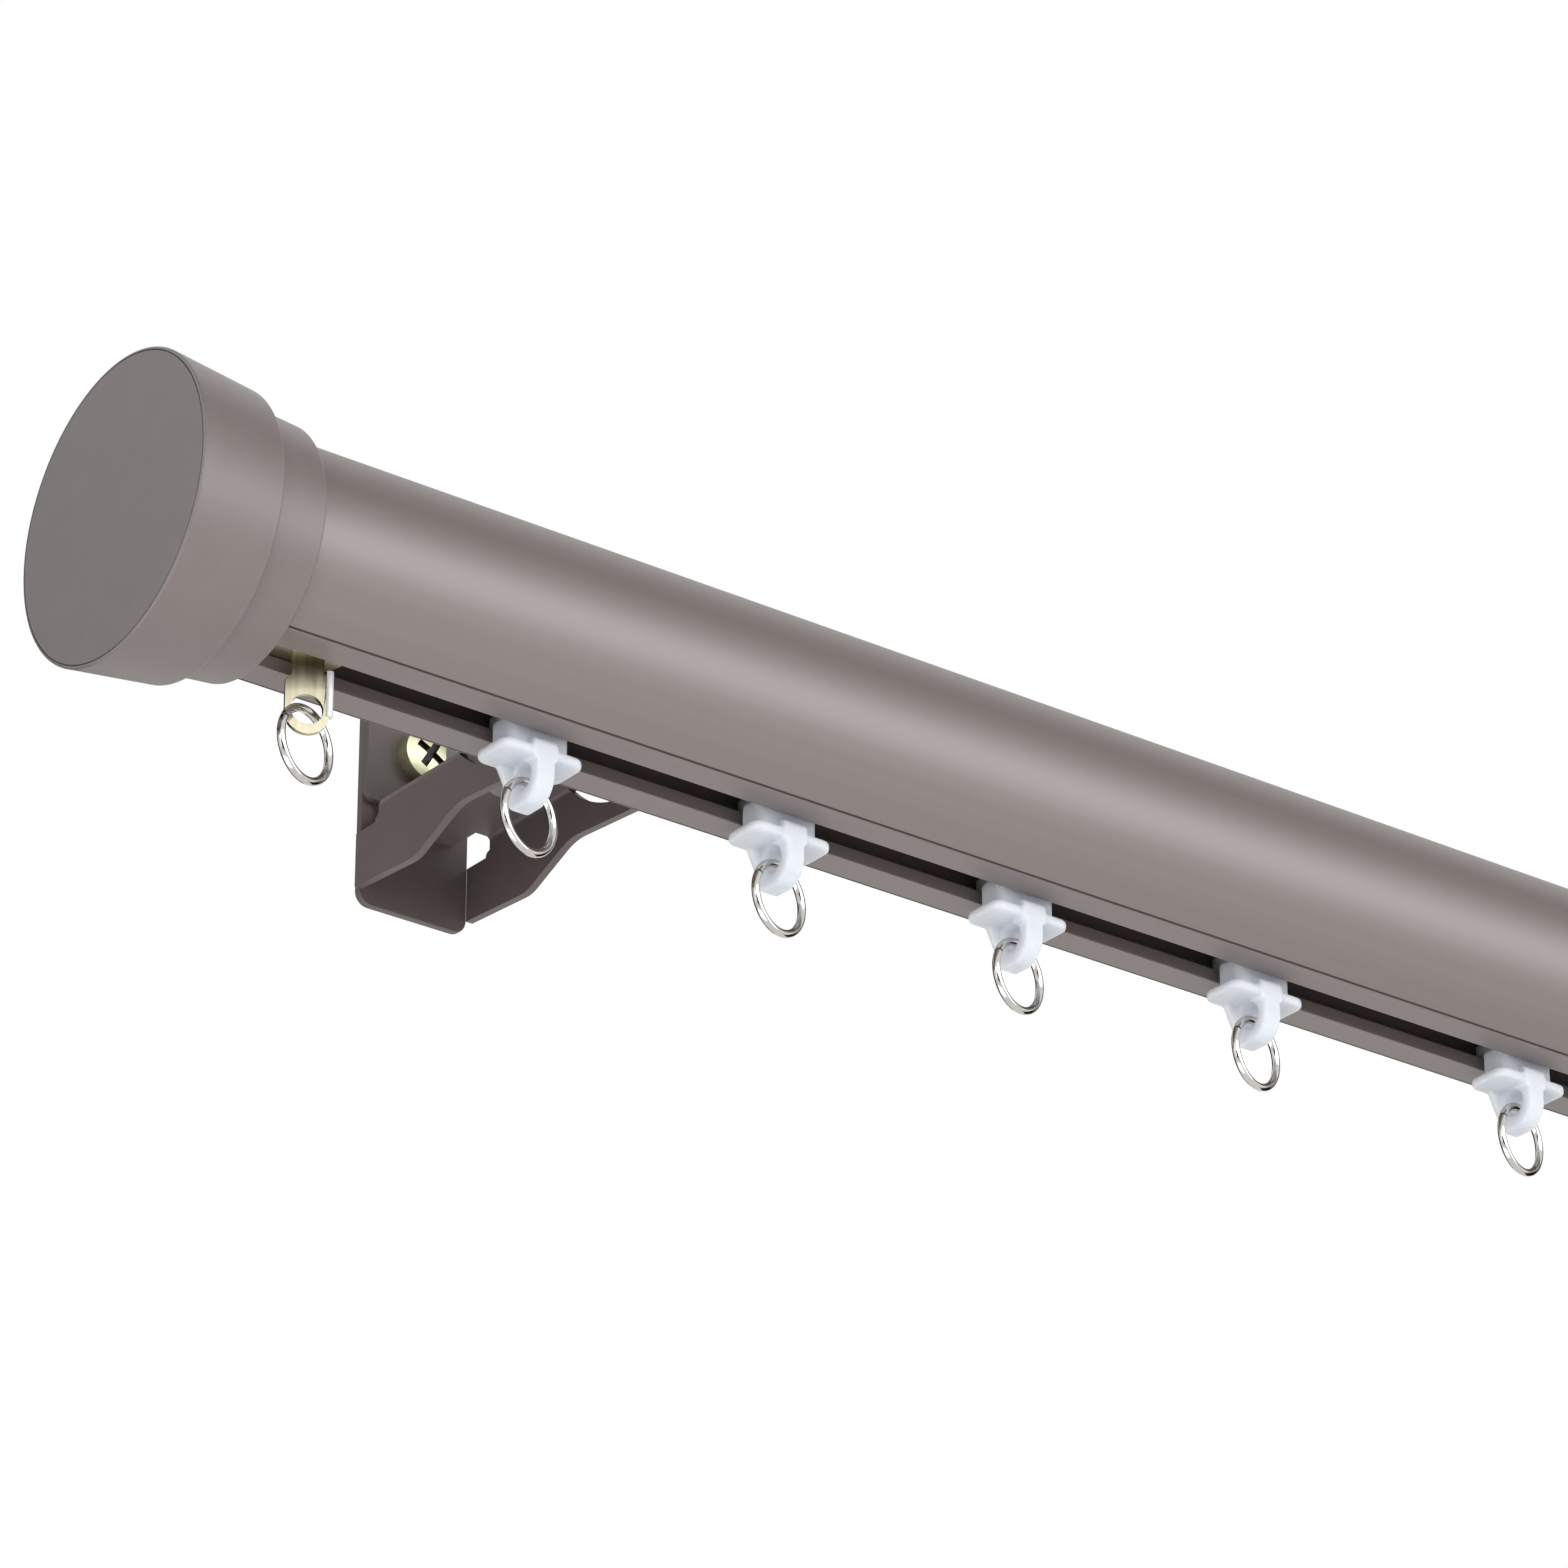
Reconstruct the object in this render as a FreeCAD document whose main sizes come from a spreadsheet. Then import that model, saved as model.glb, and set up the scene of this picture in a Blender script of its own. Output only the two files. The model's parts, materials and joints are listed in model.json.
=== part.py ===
# Curtain track: a round rail with a runner slot in its underside, hung from the wall by two brackets.
# X runs along the rail, -Y is the front, +Y goes into the wall and +Z is up.
# The origin is the centre of the four wall screws, on the face of the wall.
# Most pieces are drawn about the rail's own axis, then moved out from the wall and down.

import FreeCAD, Part
import math
import os
import Sketcher

doc = FreeCAD.newDocument("curtain_track")
sheet = doc.addObject("Spreadsheet::Sheet", "dims")

SIZES = [
    # the rail, its slot and the channel that the runners hang in
    ("rail_span", 600.0),
    ("rail_radius", 14.0),
    ("rail_wall", 1.4),
    ("rail_reach", 44.0),
    ("flat_half", 7.1),
    ("slot_half", 2.8),
    ("lip", 1.8),
    ("channel_half", 5.6),
    ("channel_tall", 3.8),
    ("rib", 1.3),
    ("crease_wide", 0.4),
    ("crease_deep", 0.5),
    # the groove in the back of the rail that the clips hook into
    ("mouth_half", 2.0),
    ("groove_half", 3.9),
    ("groove_deep", 3.0),
    ("groove_lip", 1.6),
    # the end caps
    ("drum_radius", 19.0),
    ("drum_long", 12.6),
    ("drum_round", 0.9),
    ("collar_radius", 16.3),
    ("collar_long", 6.1),
    ("cap_floor", 8.0),
    ("cap_slack", 0.05),
    # the end eyes, folded from strip, at this distance from each cap's face
    ("eye_place", 26.9),
    ("eye_yaw", -20.0),
    ("eye_strip", 0.6),
    ("eye_head", 4.8),
    ("eye_head_tall", 1.2),
    ("eye_neck_half", 1.9),
    ("eye_half", 2.6),
    ("eye_shoulder", 14.0),
    ("eye_slope", 1.0),
    ("eye_hole", 1.9),
    ("eye_tip", 20.6),
    ("eye_hem", 0.5),
    # the wire rings
    ("wire_radius", 0.52),
    ("ring_radius", 4.36),
    ("ring_gap_angle", 3.0),
    ("ring_gap_place", 155.0),
    ("ring_hang", 17.4),
    ("ring_yaw", 14.0),
    ("end_ring_yaw", 18.0),
    # the runners' places, from the nearer cap's face
    ("runner_one", 58.0),
    ("runner_two", 94.4),
    ("runner_three", 130.9),
    ("runner_four", 168.9),
    ("runner_five", 213.4),
    # the runner: its head in the channel and its stem in the slot
    ("head_long", 10.0),
    ("head_half", 5.1),
    ("head_tall", 2.6),
    ("seat_slack", 0.05),
    ("stem_long", 8.6),
    ("stem_half", 2.1),
    ("stem_round", 1.0),
    # the runner's skirt under the rail
    ("skirt_long", 11.7),
    ("skirt_half", 3.2),
    ("skirt_low", 15.1),
    ("skirt_thick", 1.2),
    ("skirt_round", 1.5),
    ("skirt_rim", 0.4),
    # the strap from the stem's front, down and back round the ring's eye
    ("strap_front", 3.5),
    ("strap_top", 12.9),
    ("strap_round", 0.9),
    ("strap_half", 1.25),
    ("root_half", 1.7),
    ("root_low", 15.6),
    ("foot_front", 0.9),
    ("foot_round", 1.2),
    ("runner_tip", 20.6),
    # the tapered plate at the back of the eye
    ("plate_back", 2.6),
    ("plate_thick", 0.8),
    ("plate_top_half", 3.4),
    ("plate_knee_half", 2.0),
    ("plate_knee", 17.4),
    ("plate_end", 19.0),
    ("runner_eye", 1.7),
    ("runner_eye_front", 0.2),
    ("runner_eye_level", 16.95),
    # the brackets, at this distance from each cap's face
    ("bracket_place", 71.25),
    ("sheet_thick", 1.0),
    ("plate_half", 7.9),
    ("plate_low", 15.0),
    ("plate_high", 26.0),
    ("plate_corner", 1.8),
    ("arm_half", 8.7),
    ("arm_gap", 1.3),
    ("flange_half", 7.8),
    ("flange_low", 1.2),
    ("flange_high", 24.5),
    ("neck_half", 5.6),
    ("web_top", 2.7),
    ("web_front", 14.6),
    ("bend_inside", 0.6),
    ("bend_outside", 1.7),
    ("arm_low", 13.3),
    ("arm_belly", 14.1),
    ("arm_join", 6.2),
    ("relief_front", 38.0),
    ("relief_round", 0.8),
    ("step_back", 30.2),
    ("step_back_round", 5.0),
    ("step_front", 21.2),
    ("step_front_round", 8.0),
    ("step_low", 10.2),
    ("nose_front", 8.3),
    ("nose_low", 11.2),
    ("lug_front", 11.0),
    ("lug_back", 13.4),
    ("lug_low", 8.4),
    ("saddle_back", 22.2),
    ("saddle_radius", 18.0),
    ("seat_gap", 0.08),
    # the clip between bracket and rail, and its bolt
    ("clip_half", 6.0),
    ("clip_back", 28.0),
    ("clip_top", 2.8),
    ("clip_slack", 0.15),
    ("bolt_place", 22.5),
    ("bolt_radius", 1.5),
    ("bolt_head", 2.7),
    ("bolt_head_tall", 1.7),
    ("bolt_slack", 0.05),
    # the wall screws
    ("screw_low", 6.2),
    ("screw_high", 19.8),
    ("screw_radius", 1.9),
    ("screw_neck", 1.5),
    ("screw_slack", 0.2),
    ("screw_head", 3.4),
    ("screw_rim", 1.9),
    ("screw_dome", 0.9),
    ("screw_long", 9.5),
    ("screw_point", 3.5),
    ("cross_half", 0.5),
    ("cross_reach", 2.1),
    ("cross_deep", 1.1),
    ("cross_turn", 30.0),
]


def fill_sheet():
    for row, (alias, number) in enumerate(SIZES, start=1):
        cell = "B%d" % row
        sheet.set("A%d" % row, alias)
        sheet.set(cell, str(number))
        sheet.setAlias(cell, alias)
    doc.recompute()


def named(text):
    """Turn plain size names in an expression into the sheet's names."""
    words = sorted((alias for alias, number in SIZES), key=len, reverse=True)
    out = []
    word = ""
    for letter in text + " ":
        if letter.isalpha() or letter == "_" or (word and letter.isdigit()):
            word += letter
            continue
        out.append("dims." + word if word in words else word)
        out.append(letter)
        word = ""
    return "".join(out).strip()


def size(text):
    """The number that an expression of sizes gives now."""
    result = sheet.evalExpression(named(text))
    return float(getattr(result, "Value", result))


FLAT = "sqrt(rail_radius * rail_radius - flat_half * flat_half)"
CHANNEL_FLOOR = "(" + FLAT + " - lip)"
CHANNEL_ROOF = "(" + FLAT + " - lip - channel_tall)"
AXIS_DROP = "(screw_low + screw_high) / 2"


def new_body(label, along="0", turn="0"):
    """A body about the rail's axis, at a place along the rail, turned about the vertical."""
    body = doc.addObject("PartDesign::Body", label)
    body.Label = label
    body.setExpression(".Placement.Base.x", named(along))
    body.setExpression(".Placement.Base.y", named("-rail_reach"))
    body.setExpression(".Placement.Base.z", named("-" + AXIS_DROP))
    body.Placement.Rotation = FreeCAD.Rotation(FreeCAD.Vector(0, 0, 1), size(turn))
    if turn != "0":
        body.setExpression(".Placement.Rotation.Angle", named(turn))
    return body


def new_sketch(body, plane, name, offset="0"):
    """A sketch on one of the body's own planes, moved along the plane's normal."""
    sketch = body.newObject("Sketcher::SketchObject", name)
    support = [item for item in body.Origin.OriginFeatures if item.Role == plane + "_Plane"]
    sketch.AttachmentSupport = [(support[0], "")]
    sketch.MapMode = "FlatFace"
    sketch.setExpression(".AttachmentOffset.Base.z", named(offset))
    return sketch


def hold(sketch, kind, *parts, text):
    """Add one measured constraint and bind it to the sheet."""
    index = sketch.addConstraint(Sketcher.Constraint(kind, *parts, size(text)))
    sketch.setExpression("Constraints[%d]" % index, named(text))


def pin_point(sketch, line, end, across, up):
    """Hold a point of the sketch at two measured distances from its centre."""
    for kind, text in (("DistanceX", across), ("DistanceY", up)):
        hold(sketch, kind, -1, 1, line, end, text=text)


def circle(sketch, across, up, radius):
    centre = FreeCAD.Vector(size(across), size(up), 0)
    normal = FreeCAD.Vector(0, 0, 1)
    index = sketch.addGeometry(Part.Circle(centre, normal, size(radius)), False)
    pin_point(sketch, index, 3, across, up)
    hold(sketch, "Radius", index, text=radius)
    return sketch


def arc_between(first, last, radius, side):
    """The short arc between two points, bowed to the left of the way if side is +1, else to the right."""
    chord = last - first
    middle = (first + last) * 0.5
    left = FreeCAD.Vector(-chord.y, chord.x, 0)
    left.normalize()
    rise = math.sqrt(radius * radius - chord.Length * chord.Length / 4)
    centre = middle - left * (side * rise)
    start = math.atan2(first.y - centre.y, first.x - centre.x)
    end = math.atan2(last.y - centre.y, last.x - centre.x)
    ring = Part.Circle(centre, FreeCAD.Vector(0, 0, 1), radius)
    if side > 0:
        return Part.ArcOfCircle(ring, end, start), 2, 1
    return Part.ArcOfCircle(ring, start, end), 1, 2


def outline(sketch, points, arcs=None):
    """A closed outline through points; arcs names curved sides by first point: radius, then bow."""
    arcs = arcs or {}
    spots = [FreeCAD.Vector(size(across), size(up), 0) for across, up in points]
    ends = []
    for number, spot in enumerate(spots):
        following = spots[(number + 1) % len(spots)]
        if number in arcs:
            radius, side = arcs[number]
            curve, start, end = arc_between(spot, following, size(radius), side)
            index = sketch.addGeometry(curve, False)
            hold(sketch, "Radius", index, text=radius)
        else:
            index = sketch.addGeometry(Part.LineSegment(spot, following), False)
            start, end = 1, 2
        ends.append((index, start, end))
    for number, (across, up) in enumerate(points):
        index, start, end = ends[number]
        before = ends[number - 1]
        sketch.addConstraint(Sketcher.Constraint("Coincident", before[0], before[2], index, start))
        pin_point(sketch, index, start, across, up)
    return sketch


def rectangle(sketch, left, right, low, high):
    return outline(sketch, [(left, low), (right, low), (right, high), (left, high)])


def pad(body, sketch, length):
    feature = body.newObject("PartDesign::Pad", "Pad")
    feature.Profile = sketch
    feature.setExpression("Length", named(length))
    doc.recompute()
    return feature


def pocket(body, sketch, length):
    """Cut along the sketch's normal, and make sure that something was cut."""
    before = body.Shape.Volume
    feature = body.newObject("PartDesign::Pocket", "Pocket")
    feature.Profile = sketch
    feature.Reversed = True
    feature.setExpression("Length", named(length))
    doc.recompute()
    if body.Shape.Volume > before - 1e-6:
        raise RuntimeError("nothing was cut in " + body.Label)
    return feature


def revolution(body, sketch, axis):
    feature = body.newObject("PartDesign::Revolution", "Revolution")
    feature.Profile = sketch
    feature.ReferenceAxis = (sketch, [axis])
    feature.Angle = 360.0
    doc.recompute()
    return feature


def fillet(body, radius, test):
    """Round every edge of the body that the test picks."""
    base = body.Tip
    names = ["Edge%d" % (number + 1) for number, edge in enumerate(base.Shape.Edges) if test(edge)]
    if not names:
        raise RuntimeError("no edge to round in " + body.Label)
    feature = body.newObject("PartDesign::Fillet", "Fillet")
    feature.Base = (base, names)
    feature.setExpression("Radius", named(radius))
    doc.recompute()
    return feature


def straight_along(edge, way):
    """Whether an edge is a straight line along X, Y or Z."""
    if len(edge.Vertexes) != 2 or not isinstance(edge.Curve, Part.Line):
        return False
    step = edge.Vertexes[1].Point - edge.Vertexes[0].Point
    return abs(abs(getattr(step, way)) - step.Length) < 1e-6


def near(value, target):
    return abs(value - target) < 1e-4


def round_corners(body, radius, reach):
    """Round a body's upright edges at this distance along X, on either side."""
    across = size(reach)
    fillet(body, radius, lambda edge: straight_along(edge, "z")
           and near(abs(edge.Vertexes[0].X), across))


def make_rail():
    """One aluminium extrusion: a tube, a flat underside with a slot, a channel above it and a back groove."""
    body = new_body("rail")
    length = "rail_span - 2 * cap_floor - 4 * cap_slack"
    start = "-(" + length + ") / 2"
    inner = "rail_radius - rail_wall"
    tube = new_sketch(body, "YZ", "tube", start)
    circle(tube, "0", "0", "rail_radius")
    circle(tube, "0", "0", inner)
    pad(body, tube, length)
    side = "channel_half + rib"
    lips = rectangle(new_sketch(body, "YZ", "lips", start), "-flat_half", "flat_half",
                     "-" + FLAT, "-" + CHANNEL_FLOOR)
    pad(body, lips, length)
    for name, left, right in (("front_side", "-(" + side + ")", "-channel_half"),
                              ("back_side", "channel_half", side)):
        pad(body, rectangle(new_sketch(body, "YZ", name, start), left, right,
                            "-" + FLAT, "-" + CHANNEL_ROOF), length)
    reach = "(rail_radius - 2 * rail_wall)"
    roof = rectangle(new_sketch(body, "YZ", "roof", start), "-" + reach, reach,
                     "-" + CHANNEL_ROOF, "-" + CHANNEL_ROOF + " + rib")
    pad(body, roof, length)
    groove_floor = "(rail_radius - groove_lip - groove_deep)"
    walls = rectangle(new_sketch(body, "YZ", "groove_walls", start), groove_floor + " - rib",
                      "rail_radius - rail_wall", "-groove_half - rib", "groove_half + rib")
    pad(body, walls, length)
    under = rectangle(new_sketch(body, "YZ", "underside", start), "-rail_radius", "rail_radius",
                      "-rail_radius - rib", "-" + FLAT)
    pocket(body, under, length)
    slot = rectangle(new_sketch(body, "YZ", "slot", start), "-slot_half", "slot_half",
                     "-rail_radius", "-" + CHANNEL_FLOOR)
    pocket(body, slot, length)
    for name, place in (("front_crease", "-flat_half"), ("back_crease", "flat_half")):
        crease = rectangle(new_sketch(body, "YZ", name, start), place + " - crease_wide / 2",
                           place + " + crease_wide / 2", "-rail_radius", "-" + FLAT + " + crease_deep")
        pocket(body, crease, length)
    groove = rectangle(new_sketch(body, "YZ", "groove", start), groove_floor,
                       "rail_radius - groove_lip", "-groove_half", "groove_half")
    pocket(body, groove, length)
    mouth = rectangle(new_sketch(body, "YZ", "mouth", start), "rail_radius - groove_lip",
                      "rail_radius + rib", "-mouth_half", "mouth_half")
    pocket(body, mouth, length)
    return body


def make_cap(label, along, turn):
    """A turned drum with a smaller collar, bored from behind to go over the rail's end."""
    body = new_body(label, along, turn)
    bore = "rail_radius + cap_slack"
    end = "drum_long + collar_long"
    profile = new_sketch(body, "XZ", "profile")
    outline(profile, [("0", "0"), ("0", "drum_radius"), ("drum_long", "drum_radius"),
                      ("drum_long", "collar_radius"), (end, "collar_radius"), (end, bore),
                      ("cap_floor", bore), ("cap_floor", "0")])
    revolution(body, profile, "H_Axis")
    rims = (size("drum_radius"), size("collar_radius"))
    far = size(end)

    def outer_rim(edge):
        if not isinstance(edge.Curve, Part.Circle):
            return False
        radius = edge.Curve.Radius
        at_step = near(radius, rims[1]) and not near(edge.Curve.Center.x, far)
        return any(near(radius, rim) for rim in rims) and not at_step

    fillet(body, "drum_round", outer_rim)
    return body


def make_eye(label, along, turn):
    """A metal strip with a round head in the channel, a hemmed edge and a hole near its lower end."""
    body = new_body(label, along, turn)
    base = "-" + CHANNEL_FLOOR + " + seat_slack"
    head = circle(new_sketch(body, "XY", "head", base), "0", "0", "eye_head")
    pad(body, head, "eye_head_tall")
    strip = new_sketch(body, "XZ", "strip", "-eye_strip / 2")
    tip = "-eye_tip + eye_half"
    top = base + " + eye_head_tall / 2"
    neck = "-eye_shoulder + eye_slope"
    outline(strip, [("-eye_neck_half", top), ("-eye_neck_half", neck), ("-eye_half", "-eye_shoulder"),
                    ("-eye_half", tip), ("eye_half", tip), ("eye_half", "-eye_shoulder"),
                    ("eye_neck_half", neck), ("eye_neck_half", top)],
            arcs={3: ("eye_half * 1.001", -1)})
    pad(body, strip, "eye_strip")
    hole = circle(new_sketch(body, "XZ", "hole", "-eye_strip"), "0", "-ring_hang", "eye_hole")
    pocket(body, hole, "2 * eye_strip")
    hem = circle(new_sketch(body, "XY", "hem", tip), "eye_half", "0", "eye_hem")
    pad(body, hem, "eye_tip - eye_half - eye_shoulder")
    return body


def make_ring(label, along, yaw):
    """A ring bent from wire, with a butt joint, hanging from the middle of its upper wire."""
    ring = doc.addObject("Part::Torus", label)
    ring.Label = label
    ring.setExpression("Radius1", named("ring_radius"))
    ring.setExpression("Radius2", named("wire_radius"))
    ring.setExpression("Angle3", named("360 - ring_gap_angle"))
    upright = FreeCAD.Rotation(FreeCAD.Vector(1, 0, 0), 90)
    joint = FreeCAD.Rotation(FreeCAD.Vector(0, 0, 1), size("ring_gap_place"))
    turn = FreeCAD.Rotation(FreeCAD.Vector(0, 0, 1), size(yaw))
    ring.Placement.Rotation = turn.multiply(upright).multiply(joint)
    ring.setExpression(".Placement.Base.x", named(along))
    ring.setExpression(".Placement.Base.y", named("-rail_reach"))
    ring.setExpression(".Placement.Base.z", named("-" + AXIS_DROP + " - ring_hang - ring_radius"))
    return ring


def make_runner(label, along):
    """A moulded glider: head in the channel, stem, skirt under the rail, strap round the ring's eye."""
    body = new_body(label, along)
    seat = "-" + CHANNEL_FLOOR + " + seat_slack"
    skirt_top = "-skirt_low + skirt_thick"
    skirt_middle = "-skirt_low + skirt_thick / 2"
    head = rectangle(new_sketch(body, "YZ", "head", "-head_long / 2"), "-head_half", "head_half",
                     seat, seat + " + head_tall")
    pad(body, head, "head_long")
    stem = rectangle(new_sketch(body, "XY", "stem", "-skirt_low"), "-stem_long / 2", "stem_long / 2",
                     "-stem_half", "stem_half")
    pad(body, stem, "skirt_low - " + CHANNEL_FLOOR + " + head_tall / 2")
    round_corners(body, "stem_round", "stem_long / 2")
    skirt = rectangle(new_sketch(body, "XY", "skirt", "-skirt_low"), "-skirt_long / 2", "skirt_long / 2",
                      "-skirt_half", "skirt_half")
    pad(body, skirt, "skirt_thick")
    round_corners(body, "skirt_round", "skirt_long / 2")
    levels = (size("-skirt_low"), size(skirt_top))
    beyond = (size("stem_long / 2"), size("stem_half"))

    def skirt_rim(edge):
        middle = edge.valueAt((edge.FirstParameter + edge.LastParameter) / 2)
        level = any(all(near(spot.Z, height) for spot in edge.Vertexes) for height in levels)
        outside = abs(middle.x) > beyond[0] + 0.1 or abs(middle.y) > beyond[1] + 0.1
        return level and outside and near(middle.z, edge.Vertexes[0].Z)

    fillet(body, "skirt_rim", skirt_rim)
    plate = new_sketch(body, "XZ", "back_plate", "-plate_back")
    outline(plate, [("-plate_top_half", skirt_middle), ("-plate_knee_half", "-plate_knee"),
                    ("-strap_half", "-plate_end"), ("strap_half", "-plate_end"),
                    ("plate_knee_half", "-plate_knee"), ("plate_top_half", skirt_middle)])
    pad(body, plate, "plate_thick")
    back = "(strap_front - foot_front)"
    bend = "(" + back + " * " + back + " + (runner_tip - ring_hang) ^ 2) / (2 * " + back + ")"
    inside = "-stem_half / 2"
    root_arc = {1: ("strap_round", -1)}
    strap = [(inside, "-strap_top"), ("-strap_front + strap_round", "-strap_top"),
             ("-strap_front", "-strap_top - strap_round"), ("-strap_front", "-ring_hang"),
             ("-foot_front", "-runner_tip"), ("plate_back - foot_round", "-runner_tip"),
             ("plate_back", "-runner_tip + foot_round"), ("plate_back", skirt_middle), (inside, skirt_middle)]
    side = outline(new_sketch(body, "YZ", "strap", "-strap_half"), strap,
                   arcs={**root_arc, 3: (bend, -1), 5: ("foot_round", -1)})
    pad(body, side, "2 * strap_half")
    root = strap[:3] + [("-strap_front", "-root_low"), (inside, "-root_low")]
    boss = outline(new_sketch(body, "YZ", "root", "-root_half"), root, arcs=root_arc)
    pad(body, boss, "2 * root_half")
    eye = circle(new_sketch(body, "YZ", "eye", "-plate_top_half"), "-runner_eye_front", "-runner_eye_level",
                 "runner_eye")
    pocket(body, eye, "2 * plate_top_half")
    return body


def make_wall_plate(label, along):
    """The flat plate against the wall, with two screw holes."""
    body = new_body(label, along)
    front = "-rail_reach"
    plate = rectangle(new_sketch(body, "XZ", "plate", front), "-plate_half", "plate_half",
                      "-plate_low", "plate_high")
    pad(body, plate, "sheet_thick")
    fillet(body, "plate_corner", lambda edge: straight_along(edge, "y"))
    holes = new_sketch(body, "XZ", "holes", front)
    for place in ("screw_low", "screw_high"):
        circle(holes, "0", place, "screw_radius + screw_slack")
    pocket(body, holes, "sheet_thick")
    return body


def make_bracket(label, along):
    """One folded sheet: a flange up the wall plate, a web out to the rail and an arm down each side."""
    body = new_body(label, along)
    behind = "rail_reach - sheet_thick"
    ahead = "rail_reach - 2 * sheet_thick"
    arm_back = "(" + behind + " - arm_gap)"
    web_low = "-web_top - sheet_thick"
    web = rectangle(new_sketch(body, "YZ", "web", "-arm_half"), "web_front", "relief_front", web_low, "-web_top")
    pad(body, web, "2 * arm_half")
    neck = rectangle(new_sketch(body, "YZ", "neck", "-neck_half"), "web_front", behind, web_low, "-web_top")
    pad(body, neck, "2 * neck_half")
    bend = new_sketch(body, "XZ", "bend", "-(" + behind + ")")
    rectangle(bend, "-neck_half", "neck_half", web_low, "flange_low")
    pad(body, bend, "sheet_thick")
    flange = new_sketch(body, "XZ", "flange", "-(" + behind + ")")
    rectangle(flange, "-flange_half", "flange_half", "-flange_low", "flange_high")
    pad(body, flange, "sheet_thick")
    seat = size("-web_top")
    front_face = size(ahead)
    fillet(body, "bend_inside", lambda edge: straight_along(edge, "x")
           and near(edge.Vertexes[0].Y, front_face) and near(edge.Vertexes[0].Z, seat))
    ends = (size("flange_high"), size("-flange_low"))
    side_edge = size("flange_half")
    fillet(body, "0.7 * plate_corner", lambda edge: straight_along(edge, "y")
           and near(abs(edge.Vertexes[0].X), side_edge) and any(near(edge.Vertexes[0].Z, end) for end in ends))
    side = [(arm_back, "-arm_low"), ("step_back", "-arm_belly"), ("step_front", "-step_low"),
            ("nose_front", "-nose_low"), ("lug_front", "-lug_low"), ("lug_back", "-lug_low"),
            ("saddle_back", "-web_top"), ("relief_front", "-web_top"),
            ("relief_front", "-arm_join + relief_round"), ("relief_front + relief_round", "-arm_join"),
            (arm_back, "-arm_join")]
    for name, start in (("left_arm", "-arm_half"), ("right_arm", "arm_half - sheet_thick")):
        arm = outline(new_sketch(body, "YZ", name, start), side,
                      arcs={5: ("saddle_radius", -1), 8: ("relief_round", 1)})
        pad(body, arm, "sheet_thick")
    for radius, across, height in (("bend_outside", "arm_half", "-web_top"),
                                   ("bend_inside", "arm_half - sheet_thick", web_low)):
        fold = (size(across), size(height))
        fillet(body, radius, lambda edge: straight_along(edge, "y")
               and near(abs(edge.Vertexes[0].X), fold[0]) and near(edge.Vertexes[0].Z, fold[1]))
    for radius, along_arm, height in (("step_back_round", "step_back", "-arm_belly"),
                                      ("step_front_round", "step_front", "-step_low")):
        step = (size(along_arm), size(height))
        fillet(body, radius, lambda edge: straight_along(edge, "x")
               and near(edge.Vertexes[0].Y, step[0]) and near(edge.Vertexes[0].Z, step[1]))
    rail = circle(new_sketch(body, "YZ", "rail_seat", "-arm_half"), "0", "0", "rail_radius + seat_gap")
    pocket(body, rail, "2 * arm_half")
    holes = new_sketch(body, "XZ", "holes", "-(" + behind + ")")
    for place in ("screw_low", "screw_high"):
        circle(holes, "0", place, "screw_radius + screw_slack")
    pocket(body, holes, "sheet_thick")
    bolt = circle(new_sketch(body, "XY", "bolt_hole", web_low), "0", "bolt_place", "bolt_radius + bolt_slack")
    pocket(body, bolt, "sheet_thick")
    return body


def make_clip(label, along):
    """A block on the bracket's web whose T head hooks into the rail's back groove."""
    body = new_body(label, along)
    head_back = "rail_radius - groove_lip - clip_slack"
    head_front = "rail_radius - groove_lip - groove_deep + clip_slack"
    head = "(groove_half - clip_slack)"
    neck = "(mouth_half - clip_slack)"
    block = "web_front"
    side = [(head_front, "-" + head), (head_back, "-" + head), (head_back, "-" + neck), (block, "-" + neck),
            (block, "-web_top"), ("clip_back", "-web_top"), ("clip_back", "clip_top"), (block, "clip_top"),
            (block, neck), (head_back, neck), (head_back, head), (head_front, head)]
    clip = outline(new_sketch(body, "YZ", "side", "-clip_half"), side)
    pad(body, clip, "2 * clip_half")
    hole = circle(new_sketch(body, "XY", "bolt_hole", "-web_top"), "0", "bolt_place",
                  "bolt_radius + bolt_slack")
    pocket(body, hole, "clip_top + web_top - sheet_thick")
    return body


def make_bolt(label, along):
    """The bolt that draws the clip down on the web, with its head between the arms."""
    body = new_body(label, along)
    under = "-web_top - sheet_thick"
    head = circle(new_sketch(body, "XY", "head", under + " - bolt_head_tall"), "0", "bolt_place", "bolt_head")
    pad(body, head, "bolt_head_tall")
    shank = circle(new_sketch(body, "XY", "shank", under), "0", "bolt_place", "bolt_radius")
    pad(body, shank, "web_top + clip_top - sheet_thick")
    return body


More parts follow.
